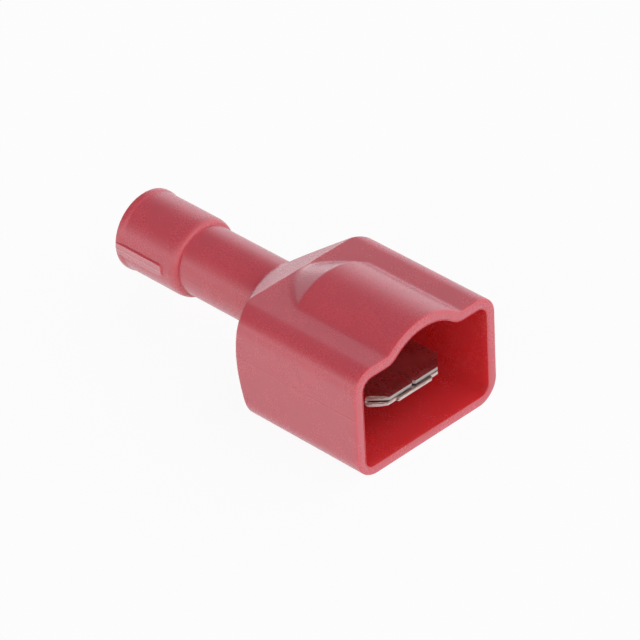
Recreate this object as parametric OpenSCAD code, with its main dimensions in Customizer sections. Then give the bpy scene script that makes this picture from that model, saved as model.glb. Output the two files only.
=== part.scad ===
// Fully insulated male spade terminal for small crimped wires.
// A moulded nylon housing shrouds a folded brass tab, whose rolled barrel sits in the housing's neck.
// X runs along the barrel towards the open mouth, Z is up, and the housing lies on its flat bottom.
// Depths are measured backwards from the plane of the mouth, in millimetres.

/* [Shroud] */
// Width of the shroud across its side walls
shroud_w = 12.25; // [11.6:0.05:14]
// Height of the two top flats above the bottom face
shroud_h = 7.9; // [7.6:0.05:8.3]
// Depth of the side walls, where the turned shoulder starts at the barrel's height
side_len = 10.4; // [9.8:0.1:11.5]
// Depth of the top flats, where the top slope starts
flat_len = 10.7; // [10:0.1:11.2]
// Thickness of the side walls, the top and the dome
shroud_wall = 0.72; // [0.5:0.02:0.9]
// Thickness of the floor
floor_wall = 0.65; // [0.5:0.05:0.9]
// Outer radius of the two long bottom edges
low_edge_r = 1.6; // [1.2:0.1:2]
// Inner radius along the floor
low_core_r = 0.65; // [0.3:0.05:1]
// Outer radius of the two long top edges
high_edge_r = 1.5; // [1:0.1:1.7]
// Half angle of the turned shoulder behind the shroud
shoulder_angle = 56.3; // [50:0.1:62]

/* [Dome] */
// Outer radius of the dome, struck from the barrel's axis
dome_r = 4.5; // [4.2:0.05:4.7]
// Depth at which the dome starts to run out
dome_len = 7.9; // [7:0.1:8.6]
// Radius of the valleys between the dome and the flats
valley_r = 0.5; // [0.3:0.05:0.7]
// Fall of the dome's run-out and of the top slope
slope_angle = 24.5; // [20:0.5:30]

/* [Neck and sleeve] */
// Height of the barrel's axis above the bottom face
axis_h = 4.62; // [4.45:0.01:4.8]
// Outside diameter of the neck, which the crimping tool squeezes
neck_d = 4.75; // [4.5:0.05:5]
// Depth of the neck's rear end
neck_len = 19.35; // [18.8:0.05:20.5]
// Outside diameter of the wire sleeve
sleeve_d = 5.44; // [5.2:0.02:5.8]
// Length of the wire sleeve
sleeve_len = 5.48; // [5:0.02:7]
// Length of the sleeve's rounded front corner
sleeve_front_len = 0.7; // [0.2:0.05:1]
// Drop of the sleeve's rounded front corner
sleeve_front_drop = 0.28; // [0.1:0.02:0.3]
// Radius of the sleeve's rear edge
sleeve_rear_r = 0.16; // [0.05:0.01:0.25]
// Height of the lip at the sleeve's rear end over the sleeve
lip_h = 0.08; // [0.04:0.01:0.15]
// Length of the lip, half of it sloping
lip_len = 0.7; // [0.6:0.05:0.9]
// Bore for the wire's insulation
entry_d = 3.9; // [3.5:0.05:4.2]
// Length of the bore for the insulation
entry_len = 4.2; // [3.5:0.1:5]
// Chamfer at the sleeve's mouth
entry_chamfer = 0.2; // [0.05:0.05:0.3]
// Throat that guides the strands into the barrel
throat_d = 1.9; // [1.6:0.05:2.2]
// Length of the throat
throat_len = 0.9; // [0.5:0.1:1]

/* [Sleeve ribs] */
// Width of the rib on each side of the sleeve
rib_w = 0.82; // [0.5:0.02:1.2]
// Length of the ribs
rib_len = 3.9; // [3:0.1:4.4]
// Height of the ribs over the sleeve
rib_h = 0.12; // [0.05:0.01:0.3]
// Radius of the corners at the ribs' blunt front ends
rib_corner_r = 0.18; // [0.05:0.01:0.24]

/* [Tab] */
// Width of the tab
tab_w = 6.35; // [5.8:0.05:6.6]
// Thickness of the folded tab
tab_t = 0.8; // [0.75:0.01:0.9]
// Thickness of the brass strip
strip_t = 0.34; // [0.3:0.01:0.36]
// Depth of the tab's tip behind the mouth
tab_setback = 1.14; // [0.5:0.02:2]
// Corner cut at the tip, along and across
tip_corner = 1.07; // [0.6:0.01:1.4]
// Length of the coined bevels at the tip
tip_bevel_len = 0.45; // [0.2:0.05:0.7]
// Drop of the coined bevels at the tip
tip_bevel_drop = 0.1; // [0.04:0.01:0.16]
// Radius of the tab's long edges, which are pressed after the strip is folded
fold_r = 0.22; // [0.1:0.02:0.36]
// Gap where the folded flaps meet
flap_seam = 0.04; // [0.02:0.01:0.2]
// Depth of the notch at the tip where the cut corners of the two flaps meet
flap_notch = 0.16; // [0.08:0.02:0.4]
// Setback of the lower layer behind the flaps at the tip
base_setback = 0.07; // [0.02:0.01:0.15]
// Gap between the rear ends of the flaps and the barrel's curl
flap_relief = 0.4; // [0.2:0.05:0.6]
// Width of the stub left at the tip where the terminal was cut from its carrier strip
stub_w = 3; // [2:0.1:3.6]
// Length of the stub left at the tip
stub_len = 0.14; // [0.05:0.01:0.3]

/* [Barrel] */
// Outside diameter of the rolled wire barrel
barrel_d = 3; // [2.9:0.02:3.2]
// Length over which the strip curls from the tab into the barrel
curl_len = 1.9; // [1.4:0.1:2.4]
// Gap of the barrel's butt seam
barrel_seam = 0.06; // [0.04:0.01:0.12]
// Depth of the serrations inside the barrel
serration_depth = 0.08; // [0.04:0.01:0.12]
// Width of the serrations inside the barrel
serration_w = 0.3; // [0.2:0.02:0.4]

/* [Seat] */
// Depth of the shroud's cavity
cavity_len = 9.2; // [8.8:0.1:9.6]
// Depth of the nest in the rear web that holds the tab's rear end
nest_depth = 1; // [0.6:0.1:1.2]
// Clearance round the tab and the barrel in the housing
seat_gap = 0.04; // [0.02:0.01:0.08]

/* [Hidden] */

// Segments of a quarter-round edge
arc_steps = 12;
// Segments of the dome's arc
dome_steps = 30;
// Facets of a turned surface
turned_facets = 96;
// Overlap that joins one shape to the next, and overshoot of a cut
join = 0.3;
// Step between the dome and the turned run-out behind it
run_out_step = 0.02;
serration_count = 3;

overall_len = neck_len + sleeve_len;
mouth_x = overall_len / 2;
half_w = shroud_w / 2;
neck_r = neck_d / 2;
sleeve_r = sleeve_d / 2;
entry_r = entry_d / 2;
throat_r = throat_d / 2;
barrel_r = barrel_d / 2;
slope = tan(slope_angle);
shoulder_slope = tan(shoulder_angle);

// The strip lies flush with the lowest line of the barrel rolled from it
tab_low = axis_h - barrel_r;
tab_high = tab_low + tab_t;
tab_end = cavity_len + nest_depth;
flap_end = tab_end - flap_relief;
layer_gap = tab_t - 2 * strip_t;
barrel_bore_r = barrel_r - strip_t;
barrel_front = tab_end + curl_len;
seat_r = barrel_r + seat_gap;

entry_front = overall_len - entry_len;
throat_back = neck_len;
throat_front = throat_back - throat_len;
barrel_back = throat_front - seat_gap;

// Radius that clears every corner of the shroud
far_r = norm([half_w, max(axis_h, shroud_h)]);

function arc(centre, r, from, to, steps = arc_steps) = oval_arc(centre, [r, r], from, to, steps);

function oval_arc(centre, radii, from, to, steps) =
    [for (i = [0:steps]) let (a = from + (to - from) * i / steps)
        centre + [radii[0] * cos(a), radii[1] * sin(a)]];

// The points of an arc without its two ends, which the neighbouring arcs already hold
function open_arc(centre, r, from, to, steps) =
    [for (i = [1:steps - 1]) let (a = from + (to - from) * i / steps) centre + r * [cos(a), sin(a)]];

function low_edges(half, low, r) = concat(
    arc([r - half, low + r], r, 180, 270),
    arc([half - r, low + r], r, 270, 360));

function right_edge(half, high, r) = arc([half - r, high - r], r, 0, 90);

function left_edge(half, high, r) = arc([r - half, high - r], r, 90, 180);

// Section of the shroud without its dome
function box_outline(half, low, high, low_r, high_r) = concat(
    low_edges(half, low, low_r),
    right_edge(half, high, high_r),
    left_edge(half, high, high_r));

// The dome between the flats: a valley, the arc struck from the barrel's axis and the other valley
function dome_outline(high, r, valley) =
    let (
        rise = high + valley - axis_h,
        reach = sqrt(pow(r + valley, 2) - pow(rise, 2)),
        meet = atan2(rise, reach))
    concat(
        arc([reach, high + valley], valley, 270, 180 + meet, arc_steps / 2),
        open_arc([0, axis_h], r, meet, 180 - meet, dome_steps),
        arc([-reach, high + valley], valley, -meet, -90, arc_steps / 2));

// Section of the shroud with its dome
function domed_outline(half, low, high, low_r, high_r, r, valley) = concat(
    low_edges(half, low, low_r),
    right_edge(half, high, high_r),
    dome_outline(high, r, valley),
    left_edge(half, high, high_r));

// Section of the strip folded over itself from both sides, with its two flaps meeting on top
function folded_outline() =
    let (
        fold_y = tab_w / 2 - fold_r,
        crease_r = layer_gap / 2,
        crease_y = (tab_w - tab_t) / 2,
        edge = flap_seam / 2)
    concat(
        arc([fold_y, fold_r], fold_r, -90, 0),
        arc([fold_y, tab_t - fold_r], fold_r, 0, 90),
        [[edge, tab_t], [edge, tab_t - strip_t]],
        arc([crease_y, tab_t / 2], crease_r, 90, -90),
        arc([-crease_y, tab_t / 2], crease_r, 270, 90),
        [[-edge, tab_t - strip_t], [-edge, tab_t]],
        arc([-fold_y, tab_t - fold_r], fold_r, 90, 180),
        arc([-fold_y, fold_r], fold_r, 180, 270));

// A section in Y and Z drawn out along the barrel from one depth to another
module along(front, back) {
    translate([-back, 0, 0]) rotate([90, 0, 90]) linear_extrude(back - front) children();
}

// A side view in X and Z drawn out to both sides
module across(width) {
    rotate([90, 0, 0]) linear_extrude(width, center = true) children();
}

// A shape turned about the barrel's axis, from points of radius and depth
module turned(points) {
    translate([0, 0, axis_h]) rotate([0, -90, 0]) rotate_extrude($fn = turned_facets) polygon(points);
}

// Everything above the slope that leads the top flats down to the neck
module above_top_slope() {
    drop = shroud_h;
    run = drop / slope;
    across(shroud_w + 2 * join)
        polygon([[-flat_len, shroud_h], [-flat_len - run, shroud_h - drop], [-flat_len - run, shroud_h + join],
            [-flat_len, shroud_h + join]]);
}

// The dome's conical run-out, which dies into the neck
module dome_run_out() {
    base_r = dome_r - run_out_step;
    end_r = neck_r - join;
    turned([[0, dome_len - join], [base_r, dome_len - join], [base_r, dome_len],
        [end_r, dome_len + (base_r - end_r) / slope], [0, dome_len + (base_r - end_r) / slope]]);
}

// The space inside the turned shoulder
module inside_shoulder() {
    end_r = neck_r - join;
    turned([[0, -join], [far_r, -join], [far_r, side_len - (far_r - half_w) / shoulder_slope],
        [end_r, side_len + (half_w - end_r) / shoulder_slope], [0, side_len + (half_w - end_r) / shoulder_slope]]);
}

module shroud_body() {
    intersection() {
        union() {
            along(0, dome_len)
                polygon(domed_outline(half_w, 0, shroud_h, low_edge_r, high_edge_r, dome_r, valley_r));
            difference() {
                along(dome_len, neck_len)
                    polygon(box_outline(half_w, 0, shroud_h, low_edge_r, high_edge_r));
                above_top_slope();
            }
            dome_run_out();
        }
        inside_shoulder();
    }
}

// Neck and wire sleeve, turned in one with the sleeve's rounded corners and its rear lip
module neck_and_sleeve() {
    front_c = [sleeve_r - sleeve_front_drop, neck_len + sleeve_front_len];
    lip_r = sleeve_r + lip_h;
    rear_c = [lip_r - sleeve_rear_r, overall_len - sleeve_rear_r];
    turned(concat(
        [[0, dome_len], [neck_r, dome_len], [neck_r, neck_len]],
        oval_arc(front_c, [sleeve_front_drop, sleeve_front_len], -90, 0, arc_steps),
        [[sleeve_r, overall_len - lip_len], [lip_r, overall_len - lip_len / 2]],
        arc(rear_c, sleeve_rear_r, 0, 90, arc_steps / 2),
        [[0, overall_len]]));
}

// One low rib on each side of the sleeve, on the plane where the two halves of the mould part
module sleeve_ribs() {
    rear_x = sleeve_rear_r - overall_len;
    corner_x = rib_len - overall_len - rib_corner_r;
    corner_z = rib_w / 2 - rib_corner_r;
    translate([0, 0, axis_h])
        across(2 * (sleeve_r + rib_h))
            polygon(concat(
                [[rear_x, -rib_w / 2]],
                arc([corner_x, -corner_z], rib_corner_r, -90, 0, arc_steps / 2),
                arc([corner_x, corner_z], rib_corner_r, 0, 90, arc_steps / 2),
                [[rear_x, rib_w / 2]]));
}

// The mouth, stepped down behind the dome so that the top keeps its thickness there
module cavity() {
    core_half = half_w - shroud_wall;
    core_high = shroud_h - shroud_wall;
    core_edge_r = high_edge_r - shroud_wall;
    core_dome_len = dome_len - shroud_wall * tan(slope_angle / 2);
    along(-join, core_dome_len)
        polygon(domed_outline(core_half, floor_wall, core_high, low_core_r, core_edge_r,
            dome_r - shroud_wall, valley_r + shroud_wall));
    along(core_dome_len - join, cavity_len)
        polygon(box_outline(core_half, floor_wall, core_high, low_core_r, core_edge_r));
}

// The nest in the web that keeps the tab level and stops its shoulders
module tab_nest() {
    along(cavity_len - join, tab_end)
        translate([-tab_w / 2 - seat_gap, tab_low - seat_gap])
            square([tab_w + 2 * seat_gap, tab_t + 2 * seat_gap]);
}

// The bore from end to end: barrel seat, throat, funnel and insulation bore
module wire_passage() {
    turned([[0, cavity_len - join], [seat_r, cavity_len - join], [seat_r, throat_front], [throat_r, throat_front],
        [throat_r, throat_back], [entry_r, entry_front], [entry_r, overall_len - entry_chamfer],
        [entry_r + entry_chamfer, overall_len], [entry_r + entry_chamfer, overall_len + join],
        [0, overall_len + join]]);
}

// Moulded nylon housing
module housing() {
    color("crimson") translate([mouth_x, 0, 0]) difference() {
        union() {
            shroud_body();
            neck_and_sleeve();
            sleeve_ribs();
        }
        cavity();
        tab_nest();
        wire_passage();
    }
}

// The coined bevels on the upper and lower edges of the tip
module tip_bevels() {
    tip = -tab_setback;
    for (level = [[tab_low, 1], [tab_high, -1]])
        across(tab_w + 2 * join)
            polygon([[tip - tip_bevel_len, level[0]], [tip, level[0] + level[1] * tip_bevel_drop],
                [tip + join, level[0] + level[1] * tip_bevel_drop], [tip + join, level[0] - level[1] * join],
                [tip - tip_bevel_len, level[0] - level[1] * join]]);
}

// The notch between the cut corners of the two flaps
module seam_notch() {
    deep = flap_notch + flap_seam / 2;
    translate([-tab_setback, 0, tab_low + tab_t / 2]) linear_extrude(tab_t)
        polygon([[-deep, 0], [join, -deep - join], [join, deep + join]]);
}

// The slits at the tip's two corners, where the cut in the flat strip parts the layers up to the fold
module corner_slits() {
    crease_y = (tab_w - tab_t) / 2;
    for (left = [crease_y, -crease_y - tab_t])
        translate([-tab_setback - tip_corner, left, tab_low + strip_t])
            cube([tip_corner + join, tab_t, layer_gap]);
}

// What the lower layer is shorter than the flaps by
module base_end() {
    translate([-tab_setback - base_setback, -tab_w / 2, tab_low - join])
        cube([base_setback + join, tab_w, join + tab_t / 2]);
}

// The flat strip between the ends of the flaps and the barrel, whose shoulders stop in the nest
module bare_strip() {
    half = (tab_w - tab_t) / 2;
    along(flap_end - join, tab_end)
        translate([-half, tab_low]) square([2 * half, strip_t]);
}

// What is left of the carrier strip at the tip of the lower layer
module carrier_stub() {
    translate([-tab_setback - join, -stub_w / 2, tab_low + tip_bevel_drop])
        cube([join + stub_len, stub_w, strip_t - tip_bevel_drop]);
}

// The tab: the folded strip with its corners cut, its tip coined and its flaps notched
module folded_tab() {
    half = tab_w / 2;
    tip = -tab_setback;
    difference() {
        intersection() {
            translate([0, 0, tab_low]) along(tab_setback, flap_end) polygon(folded_outline());
            translate([0, 0, tab_low - join]) linear_extrude(tab_t + 2 * join)
                polygon([[tip, tip_corner - half], [tip, half - tip_corner], [tip - tip_corner, half],
                    [-tab_end - join, half], [-tab_end - join, -half], [tip - tip_corner, -half]]);
        }
        tip_bevels();
        seam_notch();
        corner_slits();
        base_end();
    }
}

// The barrel rolled up from the strip, with its serrations
module rolled_barrel() {
    trough_front = tab_end - flap_relief / 2;
    difference() {
        turned([[barrel_bore_r, trough_front], [barrel_r, trough_front], [barrel_r, barrel_back],
            [barrel_bore_r, barrel_back]]);
        for (i = [1:serration_count]) {
            centre = barrel_front + (barrel_back - barrel_front) * i / (serration_count + 1);
            turned([[0, centre - serration_w / 2], [barrel_bore_r, centre - serration_w / 2],
                [barrel_bore_r + serration_depth, centre], [barrel_bore_r, centre + serration_w / 2],
                [0, centre + serration_w / 2]]);
        }
        above_curl();
        translate([-overall_len, -barrel_seam / 2, axis_h]) cube([overall_len, barrel_seam, barrel_d]);
    }
}

// Everything above the edges that curl up from the tab to the barrel
module above_curl() {
    top = axis_h + barrel_r + join;
    across(barrel_d + 2 * join)
        polygon([[-tab_setback, tab_high], [-tab_end, tab_high], [-barrel_front, axis_h + barrel_r],
            [-barrel_front, top], [-tab_setback, top]]);
}

// Folded tab and rolled barrel, one piece of tinned brass strip
module tab_terminal() {
    color("silver") translate([mouth_x, 0, 0]) {
        folded_tab();
        bare_strip();
        carrier_stub();
        rolled_barrel();
    }
}

housing();
tab_terminal();
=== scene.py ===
import math

import bmesh
import bpy
import numpy as np
from mathutils import Matrix, Vector


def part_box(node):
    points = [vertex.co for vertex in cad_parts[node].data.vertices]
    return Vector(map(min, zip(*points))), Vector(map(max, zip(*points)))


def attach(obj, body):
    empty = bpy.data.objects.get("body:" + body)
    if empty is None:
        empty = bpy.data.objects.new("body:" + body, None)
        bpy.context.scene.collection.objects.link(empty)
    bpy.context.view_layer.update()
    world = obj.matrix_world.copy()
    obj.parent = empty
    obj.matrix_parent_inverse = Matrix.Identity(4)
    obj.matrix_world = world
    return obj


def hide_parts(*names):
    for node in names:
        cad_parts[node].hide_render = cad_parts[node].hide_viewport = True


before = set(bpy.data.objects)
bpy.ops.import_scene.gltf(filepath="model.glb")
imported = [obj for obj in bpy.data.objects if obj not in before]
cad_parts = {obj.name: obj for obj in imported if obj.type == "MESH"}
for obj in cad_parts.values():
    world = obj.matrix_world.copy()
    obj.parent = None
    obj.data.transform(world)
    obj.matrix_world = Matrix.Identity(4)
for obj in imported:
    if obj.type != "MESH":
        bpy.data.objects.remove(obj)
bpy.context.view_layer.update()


# Tab terminal
# One stamping of thin brass strip, tin plated. Both sides of the strip are folded over and meet in a seam
# along the middle of the tab, and its rear is rolled into the wire barrel. The barrel is pressed into the
# housing's neck, and the shoulders of the strip stop in a nest in the housing's rear wall.

# Pieces are modelled in millimetres and scaled to metres once they are done
metres = 0.001
terminal_low, terminal_high = [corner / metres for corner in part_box("tab_terminal")]
strip = 0.34
tab_thick = 0.80
seam = 0.04
fold_r = 0.22
tip_corner = 1.07
bevel_run = 0.45
bevel_drop = 0.10
notch = 0.16
stub_long = 0.14
stub_wide = 3.0
stub_round = 0.06
base_back = 0.07
barrel_seam = 0.06
groove_deep = 0.08
groove_wide = 0.30
groove_count = 3
sheared_edge = 0.035

# Distances behind the tip
flap_long = 8.66
curl_start = 9.06
curl_end = 10.96

tab_half = terminal_high.y
strip_low = terminal_low.z
tab_top = strip_low + tab_thick
gap_middle = strip_low + tab_thick / 2
axis_z = (terminal_low.z + terminal_high.z) / 2
barrel_r = (terminal_high.z - terminal_low.z) / 2
barrel_bore = barrel_r - strip
barrel_rear = terminal_low.x
tip_x = terminal_high.x - stub_long

# How far a cut reaches past the metal, and a sliver that keeps two faces out of one plane
beyond = 0.5
skin = 0.005

# Colours of the tin, of its sheared edges and of the brass that shows where the strip broke off
tin_shade = (0.57, 0.56, 0.54, 1)
tin_light = (0.66, 0.65, 0.63, 1)
sheared_metal = (0.50, 0.43, 0.41, 1)
burnished_metal = (0.76, 0.69, 0.67, 1)
front_brass = (0.46, 0.32, 0.27, 1)
corner_brass = (0.30, 0.17, 0.14, 1)

# Shares of the strip's thickness that the shears burnished, and that broke off at the upper corners
front_burnish = 0.75
corner_burnish = 0.6
corner_break = 0.55

# How far the line between the two wanders, and how softly it ends
break_wander = 0.06
break_soft = 0.02


def arc(centre, radius, start, end, steps):
    """Points of an arc, angles in degrees."""
    angles = [math.radians(start + (end - start) * i / steps) for i in range(steps + 1)]
    return [(centre[0] + radius * math.cos(a), centre[1] + radius * math.sin(a)) for a in angles]


def ring_pairs(count):
    """Each place in a ring with the next one."""
    return [(i, (i + 1) % count) for i in range(count)]


def drawn_out(outline, along, start, end):
    """A closed shape: an outline in the other two axes drawn out along X, Y or Z."""
    place = {
        "X": lambda u, v, w: (w, u, v),
        "Y": lambda u, v, w: (u, w, v),
        "Z": lambda u, v, w: (u, v, w),
    }[along]
    shape = bmesh.new()
    near = [shape.verts.new(place(u, v, start)) for u, v in outline]
    far = [shape.verts.new(place(u, v, end)) for u, v in outline]
    shape.faces.new(near)
    shape.faces.new(far)
    for i, j in ring_pairs(len(outline)):
        shape.faces.new((near[i], near[j], far[j], far[i]))
    bmesh.ops.recalc_face_normals(shape, faces=shape.faces)
    return shape


def crosswise(outline):
    """An outline seen from the side, drawn out across the whole tab."""
    return drawn_out(outline, "Y", -tab_half - beyond, tab_half + beyond)


def as_piece(name, shape):
    """Makes a shape into a piece of the scene."""
    mesh = bpy.data.meshes.new(name)
    shape.to_mesh(mesh)
    shape.free()
    piece = bpy.data.objects.new(name, mesh)
    bpy.context.scene.collection.objects.link(piece)
    return piece


def settle(piece):
    """Turns a piece's modifiers into its mesh."""
    graph = bpy.context.evaluated_depsgraph_get()
    mesh = bpy.data.meshes.new_from_object(piece.evaluated_get(graph))
    piece.modifiers.clear()
    piece.data = mesh


def combine(piece, operation, shape):
    """Cuts a shape out of a piece, welds it on or keeps only what lies inside it."""
    tool = as_piece("tool", shape)
    step = piece.modifiers.new("combine", "BOOLEAN")
    step.operation = operation
    step.solver = "EXACT"
    step.object = tool
    settle(piece)
    bpy.data.objects.remove(tool)


def finish_shading(piece, crease):
    """Smooth shading that stays crisp at edges sharper than the crease angle."""
    piece.data.shade_smooth()
    piece.data.set_sharp_from_angle(angle=math.radians(crease))
    even = piece.modifiers.new("even_shading", "WEIGHTED_NORMAL")
    even.keep_sharp = True
    even.weight = 80


def folded_section():
    """The strip folded over itself from both sides, its flaps meeting on top."""
    fold_steps = 8
    crease_steps = 6
    fold_y = tab_half - fold_r
    crease_r = tab_thick / 2 - strip
    crease_y = tab_half - tab_thick / 2
    under_flap = tab_top - strip
    return [
        *arc((fold_y, strip_low + fold_r), fold_r, -90, 0, fold_steps),
        *arc((fold_y, tab_top - fold_r), fold_r, 0, 90, fold_steps),
        (seam / 2, tab_top),
        (seam / 2, under_flap),
        *arc((crease_y, gap_middle), crease_r, 90, -90, crease_steps),
        *arc((-crease_y, gap_middle), crease_r, 270, 90, crease_steps),
        (-seam / 2, under_flap),
        (-seam / 2, tab_top),
        *arc((-fold_y, tab_top - fold_r), fold_r, 90, 180, fold_steps),
        *arc((-fold_y, strip_low + fold_r), fold_r, 180, 270, fold_steps),
    ]


def tip_outline():
    """The tab's outline from above, with its two corners cut off."""
    wide = tab_half + beyond
    cut_start = tip_x - tip_corner - beyond
    cut_half = tab_half - tip_corner - beyond
    rear = tip_x - 2 * flap_long
    return [
        (rear, -wide),
        (cut_start, -wide),
        (tip_x + beyond, -cut_half),
        (tip_x + beyond, cut_half),
        (cut_start, wide),
        (rear, wide),
    ]


def bevel_wedge(level, up):
    """What the coining takes off the upper or lower edge of the tip."""
    return [
        (tip_x - bevel_run, level),
        (tip_x + beyond, level + up * bevel_drop * (bevel_run + beyond) / bevel_run),
        (tip_x + beyond, level - up * beyond),
        (tip_x - bevel_run, level - up * beyond),
    ]


def rolled_barrel():
    """The strip rolled round into a tube with a butt seam on top and grooves across its bore."""
    front = tip_x - curl_start
    tube_front = tip_x - curl_end
    pitch = (barrel_rear - tube_front) / (groove_count + 1)
    outside = barrel_r - skin
    profile = [(front, outside), (barrel_rear, outside), (barrel_rear, barrel_bore)]
    for i in range(groove_count, 0, -1):
        middle = tube_front + pitch * i
        profile.append((middle - groove_wide / 2, barrel_bore))
        profile.append((middle, barrel_bore + groove_deep))
        profile.append((middle + groove_wide / 2, barrel_bore))
    profile.append((front, barrel_bore))
    steps = 72
    open_turn = math.degrees(barrel_seam / 2 / barrel_r)
    shape = bmesh.new()
    slices = []
    for i in range(steps + 1):
        turn = math.radians(90 + open_turn + (360 - 2 * open_turn) * i / steps)
        across, up = math.cos(turn), math.sin(turn)
        slices.append([shape.verts.new((x, r * across, axis_z + r * up)) for x, r in profile])
    for left, right in zip(slices, slices[1:]):
        for i, j in ring_pairs(len(profile)):
            shape.faces.new((left[i], left[j], right[j], right[i]))
    shape.faces.new(slices[0])
    shape.faces.new(slices[-1])
    bmesh.ops.recalc_face_normals(shape, faces=shape.faces)
    return shape


def add_node(tree, kind, inputs=None, **settings):
    """Adds a shader node, sets it, and links or fills its inputs."""
    node = tree.nodes.new("ShaderNode" + kind)
    for name, value in settings.items():
        setattr(node, name, value)
    for name, value in (inputs or {}).items():
        if isinstance(value, bpy.types.NodeSocket):
            tree.links.new(value, node.inputs[name])
        else:
            node.inputs[name].default_value = value
    return node


def noise(tree, place, scale, detail, roughness=0.5):
    """Cloudy values round a half, most of them within the noise range, with the scale per metre."""
    inputs = {"Vector": place, "Scale": scale, "Detail": detail, "Roughness": roughness}
    return add_node(tree, "TexNoise", inputs).outputs["Fac"]


noise_range = (0.3, 0.7)


def stretch(tree, value, span, low=0.0, high=1.0):
    """Maps a span of a value onto low to high, and holds it there beyond both ends of the span."""
    start, end = span
    inputs = {"Value": value, "From Min": start, "From Max": end, "To Min": low, "To Max": high}
    return add_node(tree, "MapRange", inputs).outputs[0]


def reckon(tree, operation, *values):
    """One step of arithmetic."""
    return add_node(tree, "Math", dict(enumerate(values)), operation=operation).outputs[0]


def blend(tree, share, first, second, kind="RGBA"):
    """Goes from the first colour or number to the second as the share goes from nought to one."""
    # The node has sockets of its own for colours and for numbers
    first_socket, second_socket, result = {"RGBA": (6, 7, 2), "FLOAT": (2, 3, 0)}[kind]
    inputs = {0: share, first_socket: first, second_socket: second}
    return add_node(tree, "Mix", inputs, data_type=kind).outputs[result]


def grade(tree, value, span, first, second):
    """Goes from the first colour to the second over a span of a value."""
    node = add_node(tree, "ValToRGB", {"Fac": value})
    for element, place, colour in zip(node.color_ramp.elements, span, (first, second)):
        element.position = place
        element.color = colour
    return node.outputs["Color"]


def axes_of(tree, vector):
    """The X, Y and Z of a vector."""
    return add_node(tree, "SeparateXYZ", {"Vector": vector}).outputs


def tin_plating():
    """Bright tin on rolled strip. The sheared edges are duller, with a burnished and a broken part."""
    material = bpy.data.materials.new("tin_plating")
    material.use_nodes = True
    tree = material.node_tree
    surface = tree.nodes["Principled BSDF"]
    surface.inputs["Metallic"].default_value = 0.98
    where = add_node(tree, "TexCoord")
    place = where.outputs["Object"]

    # Streaks from the rolling run along the strip, and the plating is brighter in some places
    streak_scale = (300, 4000, 4000)
    lie = add_node(tree, "Mapping", {"Vector": place, "Scale": streak_scale})
    streaks = noise(tree, lie.outputs[0], scale=1, detail=2)
    patches = noise(tree, place, scale=700, detail=3)
    dullness = stretch(tree, patches, noise_range, low=0.24, high=0.32)
    grain = stretch(tree, streaks, noise_range, low=-0.02, high=0.03)
    rough = reckon(tree, "ADD", dullness, grain)
    patch_span = (0.35, 0.65)
    tint = grade(tree, patches, patch_span, tin_shade, tin_light)

    # The cut edges face forwards, and those of the corners sideways too
    facing = axes_of(tree, where.outputs["Normal"])
    spot = axes_of(tree, place)
    forward_span = (0.55, 0.68)
    sideways_span = (0.55, 0.65)
    cut_face = stretch(tree, facing["X"], forward_span)
    stub_span = [(tip_x + ahead) * metres for ahead in (0.005, 0.02)]
    on_stub = stretch(tree, spot["X"], stub_span)
    sheared = reckon(tree, "MAXIMUM", cut_face, on_stub)
    corner = stretch(tree, reckon(tree, "ABSOLUTE", facing["Y"]), sideways_span)

    # The shears burnish the lower part of an edge and tear off the rest along a ragged line
    tears = noise(tree, place, scale=2600, detail=1)
    wander = stretch(tree, tears, noise_range, -break_wander * metres, break_wander * metres)
    height = reckon(tree, "ADD", spot["Z"], wander)

    def under(line):
        """One below a line of height, nought above it."""
        over = reckon(tree, "SUBTRACT", height, line)
        return stretch(tree, over, (break_soft * metres, -break_soft * metres))

    front_line, corner_line = [(strip_low + b * strip) * metres for b in (front_burnish, corner_burnish)]
    break_line = stretch(tree, corner, (0, 1), front_line, corner_line)
    lower_cut = under(break_line)
    lower_break = reckon(tree, "SUBTRACT", under((strip_low + strip) * metres), lower_cut)
    upper_cut = under((tab_top - corner_break * strip) * metres)
    upper_break = reckon(tree, "SUBTRACT", under(tab_top * metres), upper_cut)
    corner_torn = reckon(tree, "MULTIPLY", upper_break, corner)
    torn = reckon(tree, "MAXIMUM", lower_break, corner_torn)
    bare = reckon(tree, "MULTIPLY", torn, sheared)
    burnished = reckon(tree, "MULTIPLY", lower_cut, sheared)

    edged = blend(tree, sheared, tint, sheared_metal)
    shone = blend(tree, burnished, edged, burnished_metal)
    brass = blend(tree, corner, front_brass, corner_brass)
    colour = blend(tree, bare, shone, brass)
    cut_rough = stretch(tree, burnished, (0, 1), low=0.5, high=0.75)
    edge_rough = blend(tree, sheared, rough, cut_rough, "FLOAT")
    relief = add_node(tree, "Bump", {"Height": streaks, "Strength": 0.3, "Distance": 0.001 * metres})
    tree.links.new(colour, surface.inputs["Base Color"])
    tree.links.new(edge_rough, surface.inputs["Roughness"])
    tree.links.new(relief.outputs[0], surface.inputs["Normal"])
    return material


terminal = as_piece("folded_terminal", drawn_out(folded_section(), "X", tip_x - curl_start, tip_x))
tip_shape = drawn_out(tip_outline(), "Z", strip_low - beyond, tab_top + beyond)
combine(terminal, "INTERSECT", tip_shape)
for edge_level, edge_up in ((strip_low, 1), (tab_top, -1)):
    combine(terminal, "DIFFERENCE", crosswise(bevel_wedge(edge_level, edge_up)))

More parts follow.
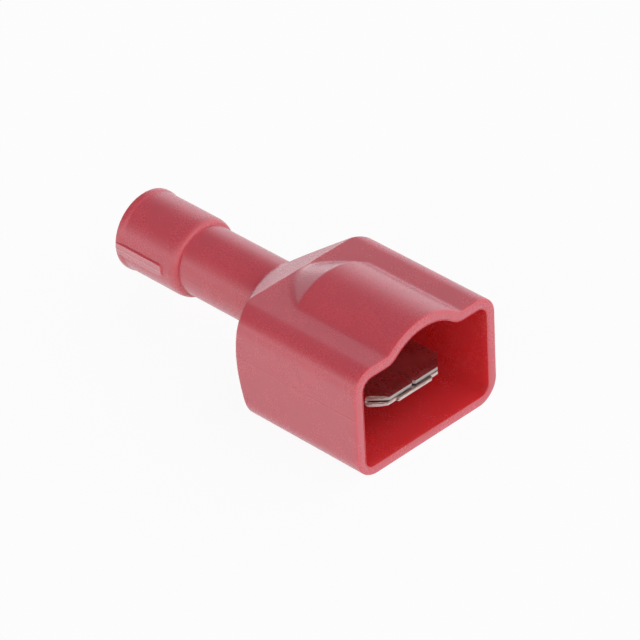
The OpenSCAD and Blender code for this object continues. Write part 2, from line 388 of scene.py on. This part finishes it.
# The flaps end before the barrel, and the lower layer ends a little behind them at the tip
flap_rear = tip_x - flap_long
rear_edge = tip_x - curl_start - beyond
above_strip = [(rear_edge, gap_middle), (flap_rear, gap_middle), (flap_rear, axis_z), (rear_edge, axis_z)]
combine(terminal, "DIFFERENCE", crosswise(above_strip))
base_front = tip_x - base_back
tip_under = [
    (base_front, strip_low - beyond),
    (base_front, gap_middle),
    (tip_x + beyond, gap_middle),
    (tip_x + beyond, strip_low - beyond),
]
combine(terminal, "DIFFERENCE", crosswise(tip_under))
notch_deep = notch + seam / 2
notch_outline = [
    (tip_x - notch_deep, 0),
    (tip_x + beyond, -notch_deep - beyond),
    (tip_x + beyond, notch_deep + beyond),
]
combine(terminal, "DIFFERENCE", drawn_out(notch_outline, "Z", gap_middle, tab_top + beyond))

# The corners are cut while the strip is flat, so the layers are parted there up to the fold
slit_low = strip_low + strip
slit_high = tab_top - strip
for slit_inner in (tab_half - tab_thick / 2, -tab_half - tab_thick / 2):
    slit = [
        (slit_inner, slit_low),
        (slit_inner + tab_thick, slit_low),
        (slit_inner + tab_thick, slit_high),
        (slit_inner, slit_high),
    ]
    combine(terminal, "DIFFERENCE", drawn_out(slit, "X", tip_x - tip_corner, tip_x + beyond))

# What is left of the carrier strip at the tip
stub_front = terminal_high.x
stub_rear = tip_x - bevel_run
stub_half = stub_wide / 2
stub_outline = [
    (stub_rear, -stub_half),
    (stub_front - stub_round, -stub_half),
    (stub_front, -stub_half + stub_round),
    (stub_front, stub_half - stub_round),
    (stub_front - stub_round, stub_half),
    (stub_rear, stub_half),
]
stub_shape = drawn_out(stub_outline, "Z", strip_low + bevel_drop, strip_low + strip - skin)
combine(terminal, "UNION", stub_shape)

# The barrel, open on top where the strip curls up into it
barrel = as_piece("barrel", rolled_barrel())
curl_top = axis_z + barrel_r
above_curl = [
    (tip_x, tab_top),
    (tip_x - curl_start, tab_top),
    (tip_x - curl_end, curl_top),
    (tip_x - curl_end, curl_top + beyond),
    (tip_x, curl_top + beyond),
]
combine(barrel, "DIFFERENCE", crosswise(above_curl))
barrel_shape = bmesh.new()
barrel_shape.from_mesh(barrel.data)
bpy.data.objects.remove(barrel)
combine(terminal, "UNION", barrel_shape)

soft_edges = terminal.modifiers.new("sheared_edges", "BEVEL")
soft_edges.width = sheared_edge
soft_edges.segments = 2
soft_edges.limit_method = "ANGLE"
soft_edges.angle_limit = math.radians(40)
settle(terminal)
terminal.data.transform(Matrix.Scale(metres, 4))
terminal.data.materials.clear()
terminal.data.materials.append(tin_plating())
finish_shading(terminal, crease=50)
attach(terminal, "root")
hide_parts("tab_terminal")


# Housing
# One injection moulding in red nylon, into which the terminal is pressed from the mouth. The shroud has a
# dome along its top that runs out into the neck. The neck is squeezed by the crimping tool, and the wire's
# insulation goes into the sleeve behind it. The two halves of the mould part on the level of the barrel.

housing_low, housing_high = [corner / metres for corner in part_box("housing")]
mouth_x = housing_high.x
overall = housing_high.x - housing_low.x

# The fine line where the halves of the mould part stands out to the full width
parting_high = 0.02
parting_wide = 0.045
half_wide = housing_high.y - parting_high

# Shroud, with depths measured back from the mouth
shroud_high = 7.9
side_long = 10.4
flat_long = 10.7
wall = 0.72
floor_wall = 0.65
low_edge = 1.6
low_core = 0.65
high_edge = 1.5
dome_r = housing_high.z - axis_z
dome_long = 7.9
shoulder_slope = math.tan(math.radians(56.3))
slope = math.tan(math.radians(24.5))
rim_outer = 0.10
rim_inner = 0.06
cavity_long = 9.2
cavity_edge = 0.25

# Neck and sleeve
neck_r = 2.375
neck_long = 19.35
sleeve_r = 2.72
sleeve_front = 0.7
sleeve_drop = 0.28
sleeve_rear = 0.16
lip_high = 0.08
lip_long = 0.7
rib_half = 0.41
rib_long = 4.3
rib_flat = 2.84
rib_corner = 0.27
rib_edge = 0.07

# Seat of the terminal, and the way in for the wire
nest_deep = 1.0
clearance = 0.04
seat_r = barrel_r + clearance
throat_r = 0.95
throat_long = 0.9
entry_r = 1.95
entry_long = 4.2
entry_chamfer = 0.2
bore_soft = 0.03

# How far the surfaces round into each other where they meet
valley_blend = 0.20
core_valley_blend = 0.46
top_line_blend = 0.05
run_out_blend = 0.12
shoulder_blend = 0.16
neck_blend = 0.10

# Colours of the textured outside and the polished inside, and of the haze over the outside
outer_shade = (0.67, 0.010, 0.019, 1)
outer_light = (0.71, 0.013, 0.023, 1)
# The inside's red is painted lighter than the outside's: painted light standing in for the light that
# fills the mouth
inner_red_painted_lighter = (0.77, 0.033, 0.038, 1)
haze_tint = (0.78, 0.84, 1.0, 1)


def smooth_max(a, b, blend_width):
    """The larger of two values, rounded over where they are close."""
    lap = np.maximum(blend_width - np.abs(a - b), 0) / blend_width
    return np.maximum(a, b) + lap * lap * blend_width / 4


def smooth_min(a, b, blend_width):
    """The smaller of two values, rounded over where they are close."""
    return -smooth_max(-a, -b, blend_width)


def eased(share):
    """Nought to one with a soft start and end."""
    return share * share * (3 - 2 * share)


def box_reach(turn, half, low, high, low_round, high_round):
    """Distance from the barrel's axis to the outline of a box with rounded edges, for each turn."""
    across, up = np.cos(turn), np.sin(turn)
    small = 1e-9
    to_side = half / np.maximum(np.abs(across), small)
    to_level = np.where(up > 0, high - axis_z, axis_z - low) / np.maximum(np.abs(up), small)
    reach = np.minimum(to_side, to_level)
    rounding = np.where(up > 0, high_round, low_round)
    centre_y = half - rounding
    centre_z = np.where(up > 0, high - rounding - axis_z, axis_z - low - rounding)
    in_corner = (reach * np.abs(across) > centre_y) & (reach * np.abs(up) > centre_z)
    along = np.abs(across) * centre_y + np.abs(up) * centre_z
    inside = along**2 - centre_y**2 - centre_z**2 + rounding**2
    return np.where(in_corner, along + np.sqrt(np.maximum(inside, 0)), reach)


def shroud_reach(turn, depth):
    """The outside from the mouth to the neck's end: box, top slope, dome, shoulder and neck."""
    up = np.sin(turn)
    least_up = 0.1
    body = box_reach(turn, half_wide, 0, shroud_high, low_edge, high_edge)
    fall = max(depth - flat_long, 0) * slope
    if fall > 0:
        level = (shroud_high - axis_z - fall) / np.maximum(up, least_up)
        top = np.where(up > least_up, level, 2 * half_wide)
        body = smooth_min(body, top, top_line_blend)
    dome = dome_r - smooth_max(depth - dome_long, 0, run_out_blend) * slope
    domed = smooth_max(body, np.full_like(turn, dome), valley_blend)
    body = np.where(up > 0, domed, body)
    shoulder = half_wide - (depth - side_long) * shoulder_slope
    body = smooth_min(body, np.full_like(turn, shoulder), shoulder_blend)
    return smooth_max(body, np.full_like(turn, neck_r), neck_blend)


def parting_ridge(turn, reach):
    """The fine raised line that the mould's two halves leave along both sides."""
    off = reach * np.sin(turn)
    return parting_high * np.exp(-((off / parting_wide) ** 2))


def sleeve_reach(turn, depth, radius):
    """The sleeve with its two flat ribs, which start blunt and end at the rear rounding."""
    up = radius * np.sin(turn)
    start = overall - rib_long
    off_side = np.maximum(np.abs(up) - rib_half + rib_corner, 0)
    off_front = max(start + rib_corner - depth, 0)
    outside = np.hypot(off_side, off_front) - rib_corner
    behind = depth - (overall - sleeve_rear)
    outside = np.maximum(outside, behind)
    share = eased(np.clip(0.5 - outside / rib_edge, 0, 1))
    least_across = 0.5
    rib = rib_flat / np.maximum(np.abs(np.cos(turn)), least_across)
    return radius + share * np.maximum(rib - radius, 0)


def cavity_reach(turn, depth):
    """The inside of the shroud, whose dome stops before the web."""
    core = box_reach(turn, half_wide - wall, floor_wall, shroud_high - wall, low_core, high_edge - wall)
    dome_end = dome_long - wall * math.tan(math.atan(slope) / 2)
    dome_fade = 0.04
    within_core = 1.5
    dome = np.interp(depth, [dome_end - dome_fade, dome_end], [dome_r - wall, within_core])
    domed = smooth_max(core, np.full_like(turn, dome), core_valley_blend)
    return np.where(np.sin(turn) > 0, domed, core)


def spread_turns(count):
    """Turns round the axis, closest where the mouth's outline bends, alike on both sides."""
    fine = np.radians(np.linspace(-90, 90, 7201))
    reach = shroud_reach(fine, 1.0)
    points = np.stack([reach * np.cos(fine), reach * np.sin(fine)], 1)
    steps = np.diff(points, axis=0)
    lengths = np.hypot(steps[:, 0], steps[:, 1])
    bends = np.abs(np.diff(np.unwrap(np.arctan2(steps[:, 1], steps[:, 0]))))
    bend_weight = 1.6
    cost = np.concatenate([[0], np.cumsum(lengths + bend_weight * np.concatenate([[0], bends]))])
    chosen = np.interp(np.linspace(0, cost[-1], count), cost, fine)

    # The parting line and the ribs get turns of their own, in degrees off the side
    line_turns = [0, 0.2, 0.4, 0.65, 1.0, 1.4]
    rib_turns = [2, 4, 6, 7.6, 8.2, 8.7, 9.2, 9.8, 10.6]
    extra = np.radians([sign * t for t in line_turns + rib_turns for sign in (-1, 1)])
    digits = 6
    least_apart = math.radians(0.12)
    right = np.unique(np.round(np.concatenate([chosen, extra]), digits))
    apart = np.concatenate([[True], np.diff(right) > least_apart])
    right = right[apart | np.isin(right, np.round(extra, digits))]
    left = math.pi - right[::-1]
    return np.concatenate([right[:-1], left[:-1]])


def quarter(steps):
    """Turns from 0 to a quarter of a circle."""
    return [math.pi / 2 * i / steps for i in range(steps + 1)]


def shroud_rings(turn):
    """Rings of depth and reach over the outer edge of the rim and along the shroud to the neck's end."""
    rings = []
    mouth_outer = shroud_reach(turn, 0)
    for a in quarter(4):
        round_off = rim_outer * (1 - math.sin(a))
        ridge = parting_ridge(turn, mouth_outer) * math.sin(a)
        rings.append((rim_outer * (1 - math.cos(a)), mouth_outer - round_off + ridge))

    # Wide steps along the walls and the neck, and close ones where the dome, slope and shoulder run out
    run_out_start, run_out_end = 7.4, 13.3
    neck_start, neck_end = 13.6, 19.2
    wall_depths = np.arange(0.6, run_out_start, 0.85)
    run_out_depths = np.arange(run_out_start, run_out_end, 0.08)
    neck_depths = np.arange(neck_start, neck_end, 0.8)
    for depth in [*wall_depths, *run_out_depths, *neck_depths]:
        reach = shroud_reach(turn, depth)
        rings.append((depth, reach + parting_ridge(turn, reach)))
    return rings


def sleeve_rings(turn):
    """Rings from the neck's end over the sleeve's front corner, its ribs, its lip and its rear edge."""
    neck_seat = 0.02
    rings = [(neck_long - neck_seat, np.full_like(turn, neck_r))]
    for a in quarter(10):
        depth = neck_long + sleeve_front * (1 - math.cos(a))
        rings.append((depth, np.full_like(turn, sleeve_r - sleeve_drop * (1 - math.sin(a)))))

    rib_start = overall - rib_long
    before_rib = 20.25
    rib_front_depths = np.arange(rib_start - 0.08, rib_start + 0.41, 0.035)
    along_rib_depths = np.arange(21.4, 24.0, 0.5)
    for depth in [before_rib, *rib_front_depths, *along_rib_depths]:
        rings.append((depth, sleeve_reach(turn, depth, sleeve_r)))

    lip_start = overall - lip_long
    lip_r = sleeve_r + lip_high
    rear_start = overall - sleeve_rear
    for share in np.linspace(0, 1, 9):
        depth = lip_start + lip_long / 2 * share
        rings.append((depth, sleeve_reach(turn, depth, sleeve_r + lip_high * eased(share))))
    for depth in np.linspace(rear_start - 0.08, rear_start, 4):
        rings.append((depth, sleeve_reach(turn, depth, lip_r)))
    for a in quarter(8)[1:]:
        depth = overall - sleeve_rear * (1 - math.sin(a))
        rings.append((depth, sleeve_reach(turn, depth, lip_r - sleeve_rear * (1 - math.cos(a)))))
    return [(depth, reach + parting_ridge(turn, reach)) for depth, reach in rings]


def bore_rings():
    """Rings from the sleeve's mouth through the funnel, the throat and the barrel's seat to the web."""
    lead = entry_r + entry_chamfer
    entry_front = overall - entry_long
    throat_front = neck_long - throat_long
    end_margin = 0.1
    rings = [
        (overall, lead + bore_soft),
        (overall - bore_soft / 3, lead),
        (overall - entry_chamfer, entry_r),
    ]
    entry_depths = np.linspace(overall - entry_chamfer - end_margin, entry_front + end_margin, 5)
    rings += [(depth, entry_r) for depth in entry_depths]
    rings += [
        (entry_front, entry_r),
        ((entry_front + neck_long) / 2, (entry_r + throat_r) / 2),
        (neck_long, throat_r),
        (throat_front, throat_r),
        (throat_front, (throat_r + seat_r) / 2),
        (throat_front, seat_r),
    ]
    seat_depths = np.linspace(throat_front - end_margin, cavity_long + end_margin, 8)
    rings += [(depth, seat_r) for depth in seat_depths]
    return rings + [(cavity_long, seat_r + bore_soft)]


def cavity_rings(turn):
    """Rings from the web's front along the inside of the shroud and over the rim."""
    rings = []
    rear_inner = cavity_reach(turn, cavity_long)
    for share in (0.15, 0.4, 0.7):
        rings.append((cavity_long, seat_r + (rear_inner - cavity_edge - seat_r) * share))
    for a in quarter(4):
        depth = cavity_long - cavity_edge * (1 - math.cos(a))
        rings.append((depth, rear_inner - cavity_edge * (1 - math.sin(a))))

    # Close steps where the dome stops before the web
    behind_dome = [8.6, 8.2, 7.85, 7.77]
    dome_stop = [7.745, 7.735, 7.725, 7.715, 7.705]
    along_core = [7.6, *np.arange(7.0, 0.3, -0.8), 0.2]
    for depth in behind_dome + dome_stop + along_core:
        rings.append((depth, cavity_reach(turn, depth)))

    mouth_outer = shroud_reach(turn, 0)
    mouth_inner = cavity_reach(turn, 0)
    for a in reversed(quarter(3)):
        rings.append((rim_inner * (1 - math.sin(a)), mouth_inner + rim_inner * (1 - math.cos(a))))
    rim_face = mouth_outer - rim_outer - mouth_inner - rim_inner
    for share in (0.3, 0.65):
        rings.append((0, mouth_inner + rim_inner + rim_face * share))
    return rings


def skin_over(turn, rings):
    """A closed skin over rings that run round the axis and back to the first."""
    corners = []
    for depth, reach in rings:
        along = np.full_like(turn, mouth_x - depth)
        corners.append(np.stack([along, reach * np.cos(turn), axis_z + reach * np.sin(turn)], 1))
    count = len(turn)
    faces = []
    for here, there in ring_pairs(len(rings)):
        for i, j in ring_pairs(count):
            faces.append((here * count + i, here * count + j, there * count + j, there * count + i))
    mesh = bpy.data.meshes.new("skin")
    mesh.from_pydata(np.concatenate(corners).tolist(), [], faces)
    shape = bmesh.new()
    shape.from_mesh(mesh)
    bpy.data.meshes.remove(mesh)
    bmesh.ops.recalc_face_normals(shape, faces=shape.faces)
    return shape


def polished_and_painted_lit_side(tree, where):
    """One where the mould's polished core made the surface, nought where its textured cavity did."""
    # The same mask also carries painted light: the inside's red is painted lighter, while its lack of haze
    # is real
    place = where.outputs["Object"]
    facing = where.outputs["Normal"]
    from_axis = {0: place, 1: (0, 1, 1), 2: (0, 0, -axis_z * metres)}
    spoke = add_node(tree, "VectorMath", from_axis, operation="MULTIPLY_ADD")
    outward = add_node(tree, "VectorMath", {0: spoke.outputs[0]}, operation="NORMALIZE")
    across = add_node(tree, "VectorMath", {0: outward.outputs[0], 1: facing}, operation="DOT_PRODUCT")
    inward_span = (-0.2, -0.5)
    inward = stretch(tree, across.outputs["Value"], inward_span)

    # The front of the web: what faces forwards between the end of the nest and the rim
    web_x = mouth_x - cavity_long
    nest_span = [(web_x - behind) * metres for behind in (2.0, 1.5)]
    rim_span = [(mouth_x - behind) * metres for behind in (0.3, 0.6)]
    along = axes_of(tree, place)["X"]
    ahead = axes_of(tree, facing)["X"]
    inside = reckon(tree, "MULTIPLY", stretch(tree, along, nest_span), stretch(tree, along, rim_span))
    web_front = reckon(tree, "MULTIPLY", inside, ahead)
    return reckon(tree, "MAXIMUM", inward, web_front)


def rib_tops(tree, place):
    """One on the polished flats of the sleeve's two ribs, nought elsewhere."""
    spot = axes_of(tree, place)
    flat_span = [(rib_flat - below) * metres for below in (0.03, 0.01)]
    sleeve_span = [(mouth_x - neck_long - behind) * metres for behind in (0, 0.1)]
    on_flat = stretch(tree, reckon(tree, "ABSOLUTE", spot["Y"]), flat_span)
    return reckon(tree, "MULTIPLY", on_flat, stretch(tree, spot["X"], sleeve_span))


def satin_nylon():
    """Red nylon: hazy and finely textured outside, painted lighter inside as painted light, glossier rib
    tops.
    """
    material = bpy.data.materials.new("satin_nylon")
    material.use_nodes = True
    tree = material.node_tree
    surface = tree.nodes["Principled BSDF"]
    surface.inputs["IOR"].default_value = 1.6
    surface.inputs["Specular IOR Level"].default_value = 0.7
    surface.inputs["Subsurface Weight"].default_value = 1.0
    surface.inputs["Subsurface Radius"].default_value = (1.0, 0.12, 0.10)
    surface.inputs["Subsurface Scale"].default_value = 0.25 * metres
    surface.inputs["Sheen Roughness"].default_value = 1.0
    surface.inputs["Sheen Tint"].default_value = haze_tint
    surface.inputs["Coat Roughness"].default_value = 0.12
    surface.inputs["Coat IOR"].default_value = 1.9
    where = add_node(tree, "TexCoord")
    place = where.outputs["Object"]
    polished = polished_and_painted_lit_side(tree, where)
    clouds = noise(tree, place, scale=420, detail=3)
    grain = noise(tree, place, scale=9000, detail=3, roughness=0.6)
    outer = grade(tree, clouds, noise_range, outer_shade, outer_light)
    # Painted light: the polished inside takes the lighter red, standing in for the light inside the mouth
    colour = blend(tree, polished, outer, inner_red_painted_lighter)
    haze = stretch(tree, polished, (0, 1), low=0.235, high=0.02)
    satin = stretch(tree, clouds, noise_range, low=0.23, high=0.29)
    fine = stretch(tree, grain, noise_range, low=-0.03, high=0.03)
    rough = reckon(tree, "ADD", satin, fine)
    relief = add_node(tree, "Bump", {"Height": grain, "Strength": 0.12, "Distance": 0.01 * metres})
    tree.links.new(colour, surface.inputs["Base Color"])
    tree.links.new(haze, surface.inputs["Sheen Weight"])
    tree.links.new(rough, surface.inputs["Roughness"])
    tree.links.new(relief.outputs[0], surface.inputs["Normal"])
    tree.links.new(rib_tops(tree, place), surface.inputs["Coat Weight"])
    return material


turns = spread_turns(count=170)
housing_rings = shroud_rings(turns) + sleeve_rings(turns) + bore_rings() + cavity_rings(turns)
housing = as_piece("moulded_housing", skin_over(turns, housing_rings))

# The nest in the web that holds the rear end of the tab
nest_y = tab_half + clearance
nest_low = strip_low - clearance
nest_high = tab_top + clearance
nest = [(-nest_y, nest_low), (nest_y, nest_low), (nest_y, nest_high), (-nest_y, nest_high)]
nest_front = mouth_x - cavity_long
combine(housing, "DIFFERENCE", drawn_out(nest, "X", nest_front - nest_deep, nest_front + beyond))
housing.data.transform(Matrix.Scale(metres, 4))
housing.data.materials.clear()
housing.data.materials.append(satin_nylon())
finish_shading(housing, crease=32)
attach(housing, "root")
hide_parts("housing")


# Studio
# The camera stands above and to the front left, with a long lens. The part lies on a pale paper floor in a
# white light tent, which has a dim opening overhead towards the rear. Soft lamps stand low at the left
# and at the front, and a smaller one behind on the right.

eye = (174.166, -161.377, 168.906)
tilt = (55.026, 2.4855, 44.906)
lens = bpy.data.cameras.new("photo_lens")
lens.sensor_width = 36
lens.lens = 260.591
camera = bpy.data.objects.new("camera", lens)
camera.location = [value * metres for value in eye]
camera.rotation_euler = [math.radians(value) for value in tilt]
bpy.context.scene.collection.objects.link(camera)
bpy.context.scene.camera = camera

floor_half = 1500
floor_drop = 0.02
floor_signs = ((-1, -1), (1, -1), (1, 1), (-1, 1))
floor_shape = bmesh.new()
floor_corners = [(x * floor_half, y * floor_half, -floor_drop) for x, y in floor_signs]
floor_shape.faces.new([floor_shape.verts.new(corner) for corner in floor_corners])
floor = as_piece("floor", floor_shape)
floor.data.transform(Matrix.Scale(metres, 4))

# The paper reflects light as matt white, and what the camera or a mirror sees of it is nearly plain white
paper_white = (0.95, 0.95, 0.95, 1)
plain_white = (1, 1, 1, 1)
white_share = 0.93
paper = bpy.data.materials.new("pale_paper")
paper.use_nodes = True
paper_tree = paper.node_tree
paper_tree.nodes.remove(paper_tree.nodes["Principled BSDF"])
matt = add_node(paper_tree, "BsdfDiffuse", {"Color": paper_white}).outputs[0]
glow = add_node(paper_tree, "Emission", {"Color": plain_white, "Strength": 1.0}).outputs[0]
ray = add_node(paper_tree, "LightPath").outputs
mirrored = reckon(paper_tree, "MAXIMUM", ray["Is Glossy Ray"], ray["Is Transmission Ray"])
seen = reckon(paper_tree, "MAXIMUM", ray["Is Camera Ray"], mirrored)
whitened = reckon(paper_tree, "MULTIPLY", seen, white_share)
paper_mix = add_node(paper_tree, "MixShader", {0: whitened, 1: matt, 2: glow})
paper_tree.links.new(paper_mix.outputs[0], paper_tree.nodes["Material Output"].inputs["Surface"])
floor.data.materials.append(paper)

tent_white = (0.955, 0.955, 1.0, 1)
opening_dark = (0.02, 0.02, 0.02, 1)
opening_way = (-0.60, -0.12, 0.79)
opening_span = (0.50, 0.86)
sky = bpy.data.worlds.new("light_tent")
sky.use_nodes = True
bpy.context.scene.world = sky
sky_tree = sky.node_tree
sky_way = add_node(sky_tree, "TexCoord").outputs["Generated"]
opening = add_node(sky_tree, "VectorMath", {0: sky_way, 1: opening_way}, operation="DOT_PRODUCT")
sky_shade = grade(sky_tree, opening.outputs["Value"], opening_span, tent_white, opening_dark)
sky_light = sky_tree.nodes["Background"]
sky_tree.links.new(sky_shade, sky_light.inputs["Color"])
sky_light.inputs["Strength"].default_value = 1.17


lamp_aim = (0, 0, 4)


def soft_lamp(name, place, wide, high, power):
    """A soft rectangular lamp that faces the part, sizes in millimetres."""
    light = bpy.data.lights.new(name, "AREA")
    light.shape = "RECTANGLE"
    light.size = wide * metres
    light.size_y = high * metres
    light.energy = power
    lamp = bpy.data.objects.new(name, light)
    spot = Matrix.Translation(Vector(place) * metres)
    way = Vector(lamp_aim) * metres - spot.translation
    lamp.matrix_world = spot @ way.to_track_quat("-Z", "Z").to_matrix().to_4x4()
    bpy.context.scene.collection.objects.link(lamp)


soft_lamp("left_lamp", (-60, -420, 70), 700, 130, 0.08)
soft_lamp("front_lamp", (420, 60, 70), 700, 130, 0.08)
soft_lamp("rear_lamp", (-340, 247, 24), 120, 48, 0.042)

bpy.context.scene.view_settings.view_transform = "Standard"
